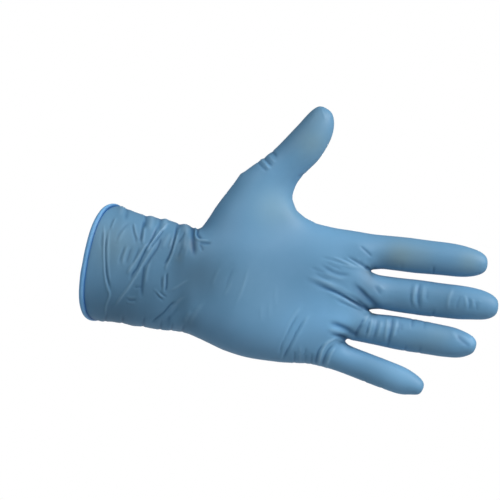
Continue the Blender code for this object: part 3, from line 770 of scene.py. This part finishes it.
EASES = (
    Ease(148, 217, 16, -0.75),      # upper edge of the cuff, which sags
    Ease(122, 206, 7, 0.35),
    Ease(102, 322, 10, 0.60),       # lower edge of the cuff
    Ease(150, 328, 26, 0.35),
    Ease(206, 340, 16, -0.75),      # hollow before the heel
    Ease(232, 353, 12, -0.30),
    Ease(203, 222, 6, 0.45),        # foot of the thumb
    Ease(228, 192, 14, -0.45),
    Ease(241, 176, 5, 0.40),        # its knuckle
    Ease(240.5, 175.5, 3, 0.40),
    Ease(293, 198, 6, -0.80),
    Ease(300, 122, 14, -0.40),
    Ease(322, 106, 9, 0.45),        # its tip
    Ease(334, 134, 14, 0.40),
    Ease(318, 163, 10, 0.40),
    Ease(295, 204, 9, -1.10),       # the wide web beside it
    Ease(322, 224, 11, 0.60),
    Ease(298, 210, 5, -1.10),
    Ease(310, 221, 5, 0.85),
    Ease(372, 233, 8, -0.15),
    Ease(369.5, 270.4, 3, 0.90),    # ends of the gaps between the fingers
    Ease(376, 266, 5, 0.80),
    Ease(367, 311, 4, 1.70),
    Ease(343, 340.5, 4, 1.60),
    Ease(405, 238, 24, 0.50),       # index finger
    Ease(450, 241, 18, 0.45),
    Ease(440, 274, 18, -0.55),
    Ease(487, 266, 8, 0.35),
    Ease(440, 284, 30, 0.55),       # middle finger
    Ease(478, 290, 16, 0.40),
    Ease(488, 318, 12, 0.55),
    Ease(420, 315, 24, 0.35),
    Ease(376, 275, 9, -0.45),
    Ease(455, 328, 14, 0.50),       # ring finger
    Ease(470, 352, 9, -1.20),
    Ease(395, 350, 22, 0.35),
    Ease(378, 314, 12, -0.40),
    Ease(412, 395, 9, -1.10),       # little finger
    Ease(405, 367, 12, 0.40),
    Ease(300, 363, 14, -0.45),      # edge of the palm
)


def ease_sum(pixels):
    """The summed movement of the edge at each pixel, in millimetres."""
    total = np.zeros(len(pixels))
    for ease in EASES:
        away = np.hypot(pixels[:, 0] - ease.across, pixels[:, 1] - ease.down)
        total += ease.rise * np.exp(-(away / ease.reach) ** 2)
    return total


edge_on = np.sqrt(np.clip(1.0 - normals[:, 1] ** 2, 0.0, 1.0))
eased = ease_sum(pixels) * edge_on
for vert, height in zip(film.verts, eased):
    vert.co += vert.normal * float(height) * MM
print("edge moved in mm:", round(eased.min(), 2), "to", round(eased.max(), 2))

# %% [markdown]
# ## Where the film is pulled tight
#
# Stretched nitrile turns paler, and over a joint or a fingertip a little greyer too. Most of the lighter and
# deeper tone here is painted light and shade, with a little of that real paleness in it: painted light over
# the palm, the thumb's root and the web beside it, and painted shade in the wrist, the lower cuff, the
# valley below the thumb and the three pinched webs. Each patch is a soft round spot at a pixel of the
# photograph, with how much lighter or deeper it is, and how far its colour goes to grey.

# %% Patches of painted light and shade, and of pale stretched film
Patch = namedtuple("Patch", "across down reach lighter grey")

# how much lighter or deeper a patch is paints light and shade into the film, with a little real paleness of
# stretched film; how far it goes to grey is the film's own colour
PATCHES = (
    Patch(312, 142, 17, 0.02, 0.55),        # pad of the thumb
    Patch(318, 116, 10, 0.00, 0.25),        # its tip
    Patch(268, 168, 22, 0.16, 0.00),
    Patch(252, 196, 30, 0.32, 0.10),        # root of the thumb, painted highlight
    Patch(274, 208, 20, 0.10, 0.40),        # web beside it: painted highlight, and greyer stretched film
    Patch(292, 214, 10, -0.04, 0.10),
    Patch(400, 256, 14, -0.10, 0.75),       # root of the index finger
    Patch(469, 262, 11, -0.02, 0.50),       # its tip
    Patch(330, 246, 30, 0.20, 0.05),        # below the index finger
    Patch(324, 312, 28, 0.42, 0.00),        # below the ring finger
    Patch(296, 330, 22, 0.16, 0.00),
    Patch(250, 285, 34, 0.02, 0.10),        # hollow of the palm
    Patch(396, 378, 20, 0.28, 0.10),        # little finger
    Patch(345, 358, 18, 0.18, 0.00),
    Patch(240, 330, 20, 0.08, 0.00),
    Patch(468, 302, 14, 0.04, 0.00),        # middle finger
    Patch(440, 335, 12, 0.00, 0.20),        # ring finger
    Patch(196, 275, 26, -0.30, 0.10),       # wrist, painted shade
    Patch(178, 246, 18, -0.14, 0.00),
    Patch(150, 290, 26, -0.20, 0.00),       # lower half of the cuff, painted shade
    Patch(110, 305, 28, -0.18, 0.00),
    Patch(112, 245, 24, -0.02, 0.40),       # cuff near the rim
    Patch(194, 243, 6, -0.22, 0.00),        # painted shade in the valley below the thumb
    Patch(179, 258, 5, -0.04, 0.20),
    Patch(371, 271, 6, -0.55, 0.00),        # painted shade in the three pinched webs
    Patch(372, 311, 6, -0.60, 0.00),
    Patch(345, 338, 5, -0.50, 0.00),
    Patch(360, 301, 10, -0.16, 0.00),
    Patch(372, 290, 12, -0.14, 0.00),
    Patch(366, 284, 7, -0.10, 0.00),
    Patch(360, 328, 9, -0.14, 0.00),
    Patch(400, 296, 14, -0.10, 0.00),
    Patch(450, 310, 16, -0.12, 0.00),
    Patch(421, 350, 16, -0.06, 0.20),
    Patch(342, 250, 16, 0.06, 0.00),
    Patch(472, 340, 7, 0.22, 0.00),
    Patch(386, 262, 12, -0.14, 0.00),
    Patch(355, 333, 9, -0.16, 0.00),
    Patch(120, 320, 18, -0.14, 0.00),       # lowest part of the cuff, which hangs in shade
    Patch(190, 322, 11, -0.22, 0.00),
    Patch(184, 302, 12, -0.22, 0.00),
    Patch(188, 230, 10, -0.12, 0.00),
    Patch(332, 326, 12, 0.26, 0.00),        # painted light beside the creases of the little finger
    Patch(345, 306, 9, 0.10, 0.00),
    Patch(346, 320, 8, 0.14, 0.00),
    Patch(422, 256, 12, -0.04, 0.30),
    Patch(440, 290, 16, -0.11, 0.00),
    Patch(455, 346, 9, 0.10, 0.00),
    Patch(404, 386, 14, 0.08, 0.00),
)


def patch_sum(pixels, column):
    """The sum of one column of the patches at each pixel."""
    total = np.zeros(len(pixels))
    for patch in PATCHES:
        away = np.hypot(pixels[:, 0] - patch.across, pixels[:, 1] - patch.down)
        total += getattr(patch, column) * np.exp(-(away / patch.reach) ** 2)
    return total


TONE_AND_LIGHT_ENDS = (0.3, 1.5)      # the film gets no deeper and no lighter than this

stretch = np.clip(patch_sum(pixels, "grey") * front, 0.0, 1.0)
# the tone paints light and shade into the film's colour, with a little real paleness of stretched film
tone_and_painted_light = np.clip(1.0 + patch_sum(pixels, "lighter") * front, *TONE_AND_LIGHT_ENDS)
print("tone from", round(tone_and_painted_light.min(), 2), "to", round(tone_and_painted_light.max(), 2))

# %% [markdown]
# ## From the work shape to a finished piece
#
# Height, stretch and the tone with its painted light and shade become attributes of the mesh, which a
# material can read at any point. A Solidify modifier then gives the film its real thickness, inwards, so
# that the cuff has an inside too.

# %% Make the glove a piece
FILM_THICK = 0.14 * MM


def keep_attribute(mesh, name, values):
    """Stores one number for each point of a mesh."""
    made = mesh.attributes.new(name, "FLOAT", "POINT")
    made.data.foreach_set("value", np.asarray(values, np.float32))


for face in film.faces:
    face.smooth = True
glove = to_object(film, "nitrile_glove")
# the height also drives the painted highlight on crests and the painted shade in valleys
keep_attribute(glove.data, "fold", rise)
keep_attribute(glove.data, "stretch", stretch)
# the tone attribute holds painted light and shade
keep_attribute(glove.data, "tone_and_painted_light", tone_and_painted_light)
wall = glove.modifiers.new("Film thickness", "SOLIDIFY")
wall.thickness = FILM_THICK
wall.offset = -1.0
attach(glove, "root")
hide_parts("glove_film")
print("glove:", len(glove.data.vertices), "points in one sheet")

# %% [markdown]
# ## The rolled rim
#
# While the film is still on its mould, its edge is rolled up on itself into a soft cord. The fixed solid
# has it as an eight-sided tube. Two levels of subdivision make it round, and a small swelling makes up for
# what that takes away, and a little more, because the real roll looks thicker. A slow noise makes it as
# uneven as a real one. The angle round the tube is kept as an attribute, for the fine lines of the layers.

# %% Round the roll
ROLL_PUFF = 0.35            # mm, how much the roll is thicker than the fixed tube
ROLL_UNEVEN = 0.16          # mm
ROLL_WAVE = 8.0             # mm

roll = rounded(merged_copy("cuff_bead"), 2)
points, normals = points_and_normals(roll)
centre = Vector(points.mean(axis=0))
layers = []
for vert in roll.verts:
    outwards = vert.co - centre
    outwards -= CUFF_WAY * outwards.dot(CUFF_WAY)
    layers.append(math.atan2(vert.normal.dot(outwards.normalized()), vert.normal.dot(CUFF_WAY)))
for vert in roll.verts:
    swell = ROLL_PUFF + noise.noise(vert.co / (ROLL_WAVE * MM)) * ROLL_UNEVEN
    vert.co += vert.normal * swell * MM
for face in roll.faces:
    face.smooth = True
rim_roll = to_object(roll, "cuff_roll")
keep_attribute(rim_roll.data, "layer", layers)
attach(rim_roll, "root")
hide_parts("cuff_bead")
print("roll:", len(rim_roll.data.polygons), "faces")

# %% [markdown]
# ## Helpers for materials
#
# A material is a small tree of nodes. One function turns the usual hex colours into the linear values
# that Blender computes with, and one adds a node, sets its values and links its inputs. An input goes by
# its name, or by its number where that is clearer: on a colour Mix 0 is the share and 6 and 7 are the two
# colours, and on a Map Range 1 and 2 are the ends of what comes in and 3 and 4 the ends of what goes out.

# %% Colours and nodes
def linear(hex_colour):
    """A linear RGBA colour from sRGB hex."""
    channels = [int(hex_colour[i:i + 2], 16) / 255.0 for i in (1, 3, 5)]
    return (*(c / 12.92 if c <= 0.04045 else ((c + 0.055) / 1.055) ** 2.4 for c in channels), 1.0)


def wired(tree, kind, inputs, **settings):
    """A new node of a tree, with its settings, and its inputs set or linked."""
    made = tree.nodes.new(kind)
    for name, value in settings.items():
        setattr(made, name, value)
    for key, value in inputs.items():
        if isinstance(value, bpy.types.NodeSocket):
            tree.links.new(value, made.inputs[key])
        else:
            made.inputs[key].default_value = value
    return made


def new_material(name):
    """An empty material's tree and its shader, which is linked to the output."""
    made = bpy.data.materials.new(name)
    made.use_nodes = True
    return made, made.node_tree, made.node_tree.nodes["Principled BSDF"]


print("mid grey in linear light:", round(linear("#808080")[0], 3))

# %% [markdown]
# ## Dipped nitrile
#
# Nitrile film is a satin rubber: it has a wide, weak highlight and no mirror. Its IOR is about 1.52, and
# the dip leaves it slightly cloudy. Its colour has four tones: the plain blue, a greyer one where it is
# stretched, a painted highlight on the crest of a fold, and painted shade in its valley. The tone attribute
# then scales the colour, which paints in more light and shade. A very fine unevenness, drawn a little
# coarser than the real one so that it shows, breaks up the highlight.

# %% Nitrile film
NITRILE_BLUE = "#6D9EC2"
STRETCHED = "#86A6B2"
# the fold colour is painted shade for valleys, the crest colour a painted highlight for ridges
FOLD_PAINTED_SHADE = "#2B5F8C"
CREST_PAINTED_HIGHLIGHT = "#93BDDA"
CLOUDY = "#6A9CC0"
CLOUD_SIZE = 14.0 * MM      # from one cloud of the dip to the next
CLOUD_ENDS = (0.40, 0.65)   # values of the noise between which the dip turns cloudy
CREST_HIGHLIGHT_ENDS = (0.05, 0.60)   # mm that a fold rises where its painted highlight starts, and where it is strongest
VALLEY_SHADE_ENDS = (-0.04, -0.75)    # mm, the same where it sinks and its painted shade starts, and where it is darkest
MOST_HIGHLIGHT = 0.60            # share of the painted highlight's colour at the strongest
MOST_SHADE = 0.75            # share of the painted shade's colour at the darkest
ROUGHNESS_ENDS = (0.44, 0.56)
GRAIN_SIZE = 0.9 * MM
GRAIN_DEPTH = 0.15 * MM

nitrile, tree, shader = new_material("dipped_nitrile_satin")
place = wired(tree, "ShaderNodeTexCoord", {}).outputs["Object"]
pulled = wired(tree, "ShaderNodeAttribute", {}, attribute_name="stretch").outputs["Fac"]
height = wired(tree, "ShaderNodeAttribute", {}, attribute_name="fold").outputs["Fac"]
tone_and_light_factor = wired(tree, "ShaderNodeAttribute", {}, attribute_name="tone_and_painted_light").outputs["Fac"]
clouds = wired(tree, "ShaderNodeTexNoise", {"Vector": place, "Scale": 1.0 / CLOUD_SIZE, "Detail": 3.0})
cloudy = wired(tree, "ShaderNodeMapRange", {"Value": clouds.outputs["Fac"], 1: CLOUD_ENDS[0],
                                               2: CLOUD_ENDS[1]})
plain = wired(tree, "ShaderNodeMix", {0: cloudy.outputs[0], 6: linear(NITRILE_BLUE), 7: linear(CLOUDY)},
              data_type="RGBA")
paler = wired(tree, "ShaderNodeMix", {0: pulled, 6: plain.outputs[2], 7: linear(STRETCHED)},
              data_type="RGBA")
# painted highlight on each fold's crest, from its height
crest_highlight = wired(tree, "ShaderNodeMapRange", {"Value": height, 1: CREST_HIGHLIGHT_ENDS[0], 2: CREST_HIGHLIGHT_ENDS[1],
                                              3: 0.0, 4: MOST_HIGHLIGHT})
highlighted = wired(tree, "ShaderNodeMix", {0: crest_highlight.outputs[0], 6: paler.outputs[2], 7: linear(CREST_PAINTED_HIGHLIGHT)},
               data_type="RGBA")
# painted shade in each fold's valley, from its height
valley_shade = wired(tree, "ShaderNodeMapRange", {"Value": height, 1: VALLEY_SHADE_ENDS[0], 2: VALLEY_SHADE_ENDS[1],
                                               3: 0.0, 4: MOST_SHADE})
valley_shaded = wired(tree, "ShaderNodeMix", {0: valley_shade.outputs[0], 6: highlighted.outputs[2], 7: linear(FOLD_PAINTED_SHADE)},
               data_type="RGBA")
# scaling by the tone paints light and shade into the colour
tone_and_light_scaled = wired(tree, "ShaderNodeVectorMath", {0: valley_shaded.outputs[2], "Scale": tone_and_light_factor}, operation="SCALE")
grain = wired(tree, "ShaderNodeTexNoise", {"Vector": place, "Scale": 1.0 / GRAIN_SIZE, "Detail": 2.0})
uneven = wired(tree, "ShaderNodeBump", {"Height": grain.outputs["Fac"], "Strength": 0.10,
                                        "Distance": GRAIN_DEPTH})
gloss = wired(tree, "ShaderNodeMapRange", {"Value": clouds.outputs["Fac"], 3: ROUGHNESS_ENDS[0],
                                              4: ROUGHNESS_ENDS[1]})
tree.links.new(tone_and_light_scaled.outputs[0], shader.inputs["Base Color"])
tree.links.new(gloss.outputs[0], shader.inputs["Roughness"])
tree.links.new(uneven.outputs["Normal"], shader.inputs["Normal"])
shader.inputs["IOR"].default_value = 1.52
shader.inputs["Specular IOR Level"].default_value = 0.35
glove.data.materials.append(nitrile)
print("nodes in the film's material:", len(tree.nodes))

# %% [markdown]
# ## Rolled nitrile
#
# The roll is many layers of the same film, so no light shows through it, and its blue is clearer. Its fine
# lines come from the attribute that was kept above, and so does the painted shade of the groove on the
# side where it meets the film.

# %% Roll of film
ROLL_BLUE = "#8CC6F4"
ROLL_SHADE = "#6FB0E6"
# the groove colour is painted shade where the roll meets the film
ROLL_GROOVE_SHADE = "#2A64A4"
LINES_ROUND = 9.0           # fine lines of the layers, once round the roll
LINE_DEPTH = 0.08 * MM
MOTTLE_SIZE = 5.0 * MM
GROOVE_SHADE_ENDS = (1.15, 0.45)  # radians round the roll, where the painted groove shade starts and where it is darkest

rolled, tree, shader = new_material("rolled_nitrile_satin")
place = wired(tree, "ShaderNodeTexCoord", {}).outputs["Object"]
layer = wired(tree, "ShaderNodeAttribute", {}, attribute_name="layer").outputs["Fac"]
turns = wired(tree, "ShaderNodeMath", {0: layer, 1: LINES_ROUND}, operation="MULTIPLY")
lines = wired(tree, "ShaderNodeMath", {0: turns.outputs[0]}, operation="SINE")
mottle = wired(tree, "ShaderNodeTexNoise", {"Vector": place, "Scale": 1.0 / MOTTLE_SIZE, "Detail": 2.0})
mottled = wired(tree, "ShaderNodeMix", {0: mottle.outputs["Fac"], 6: linear(ROLL_SHADE),
                                        7: linear(ROLL_BLUE)}, data_type="RGBA")
# painted shade in the groove on the side where the roll meets the film
groove_shade = wired(tree, "ShaderNodeMapRange", {"Value": layer, 1: GROOVE_SHADE_ENDS[0], 2: GROOVE_SHADE_ENDS[1]})
groove_shaded = wired(tree, "ShaderNodeMix", {0: groove_shade.outputs[0], 6: mottled.outputs[2], 7: linear(ROLL_GROOVE_SHADE)},
                data_type="RGBA")
ridged = wired(tree, "ShaderNodeBump", {"Height": lines.outputs[0], "Strength": 0.25,
                                        "Distance": LINE_DEPTH})
tree.links.new(groove_shaded.outputs[2], shader.inputs["Base Color"])
tree.links.new(ridged.outputs["Normal"], shader.inputs["Normal"])
shader.inputs["Roughness"].default_value = 0.42
shader.inputs["IOR"].default_value = 1.52
shader.inputs["Specular IOR Level"].default_value = 0.40
rim_roll.data.materials.append(rolled)
print("nodes in the roll's material:", len(tree.nodes))

# %% [markdown]
# ## The studio
#
# The glove is held up, as it is when worn, so the pale floor lies well below it. The floor is brighter to
# the camera than to the glove, as in a catalogue picture whose background is overexposed: a Light Path
# node tells the two apart. Its matt paint has no highlight, so nothing on it draws the eye.

# %% Floor
FLOOR_Z = -0.36
FLOOR_REACH = 1.2
FLOOR_PAINT = "#C4C6C8"
FLOOR_LIGHT = "#F4F5F6"
FLOOR_GLOW = 0.55           # how much of that light the camera sees
PALM = Vector((0.10, 0.0, 0.0))

floor_bm = bmesh.new()
bmesh.ops.create_circle(floor_bm, cap_ends=True, segments=96, radius=FLOOR_REACH)
bmesh.ops.translate(floor_bm, verts=floor_bm.verts, vec=(PALM.x, 0.0, FLOOR_Z))
floor = to_object(floor_bm, "floor")
paint, tree, shader = new_material("matt_white_paint")
shader.inputs["Base Color"].default_value = linear(FLOOR_PAINT)
shader.inputs["Roughness"].default_value = 0.9
shader.inputs["Emission Color"].default_value = linear(FLOOR_LIGHT)
seen = wired(tree, "ShaderNodeLightPath", {}).outputs["Is Camera Ray"]
glow = wired(tree, "ShaderNodeMath", {0: seen, 1: FLOOR_GLOW}, operation="MULTIPLY")
tree.links.new(glow.outputs[0], shader.inputs["Emission Strength"])
floor.data.materials.append(paint)
print("floor:", FLOOR_REACH * 2.0, "m wide,", -FLOOR_Z, "m below the opening")

# %% [markdown]
# One large soft lamp from the upper right models the palm, and a weaker one from the upper left keeps the
# cuff from going black. A third lights the back, which only shows from the other sides. It stands straight
# behind the glove, so that it draws no pale line along the outline that the camera sees.

# %% Lamps
def lamp(name, offset, size, watts):
    """A square area lamp that shines at the palm from an offset."""
    data = bpy.data.lights.new(name, "AREA")
    data.size = size
    data.energy = watts
    made = bpy.data.objects.new(name, data)
    made.location = PALM + Vector(offset)
    made.rotation_euler = (-Vector(offset)).to_track_quat("-Z", "Y").to_euler()
    scene.collection.objects.link(made)


lamp("key", offset=(0.73, -0.42, 0.475), size=0.6, watts=7.6)
lamp("fill", offset=(-0.45, -0.80, 0.90), size=0.8, watts=4.0)
lamp("back", offset=(0.00, 1.00, 0.00), size=0.35, watts=4.6)

# %% [markdown]
# The surround is white to the camera and a dim, slightly blue grey to the glove. That little blue keeps the
# shaded film from going grey.

# %% Surround
SHADE_LIGHT = (0.155, 0.180, 0.200, 1.0)
WHITE = (1.0, 1.0, 1.0, 1.0)

surround = bpy.data.worlds.new("white_surround")
surround.use_nodes = True
scene.world = surround
tree = surround.node_tree
tree.nodes.clear()
ray = wired(tree, "ShaderNodeLightPath", {})
shade = wired(tree, "ShaderNodeMix", {0: ray.outputs["Is Camera Ray"], 6: SHADE_LIGHT, 7: WHITE},
              data_type="RGBA")
sky = wired(tree, "ShaderNodeBackground", {"Color": shade.outputs[2]})
wired(tree, "ShaderNodeOutputWorld", {"Surface": sky.outputs[0]})
scene.view_settings.view_transform = "Standard"
print("nodes in the surround:", len(tree.nodes))
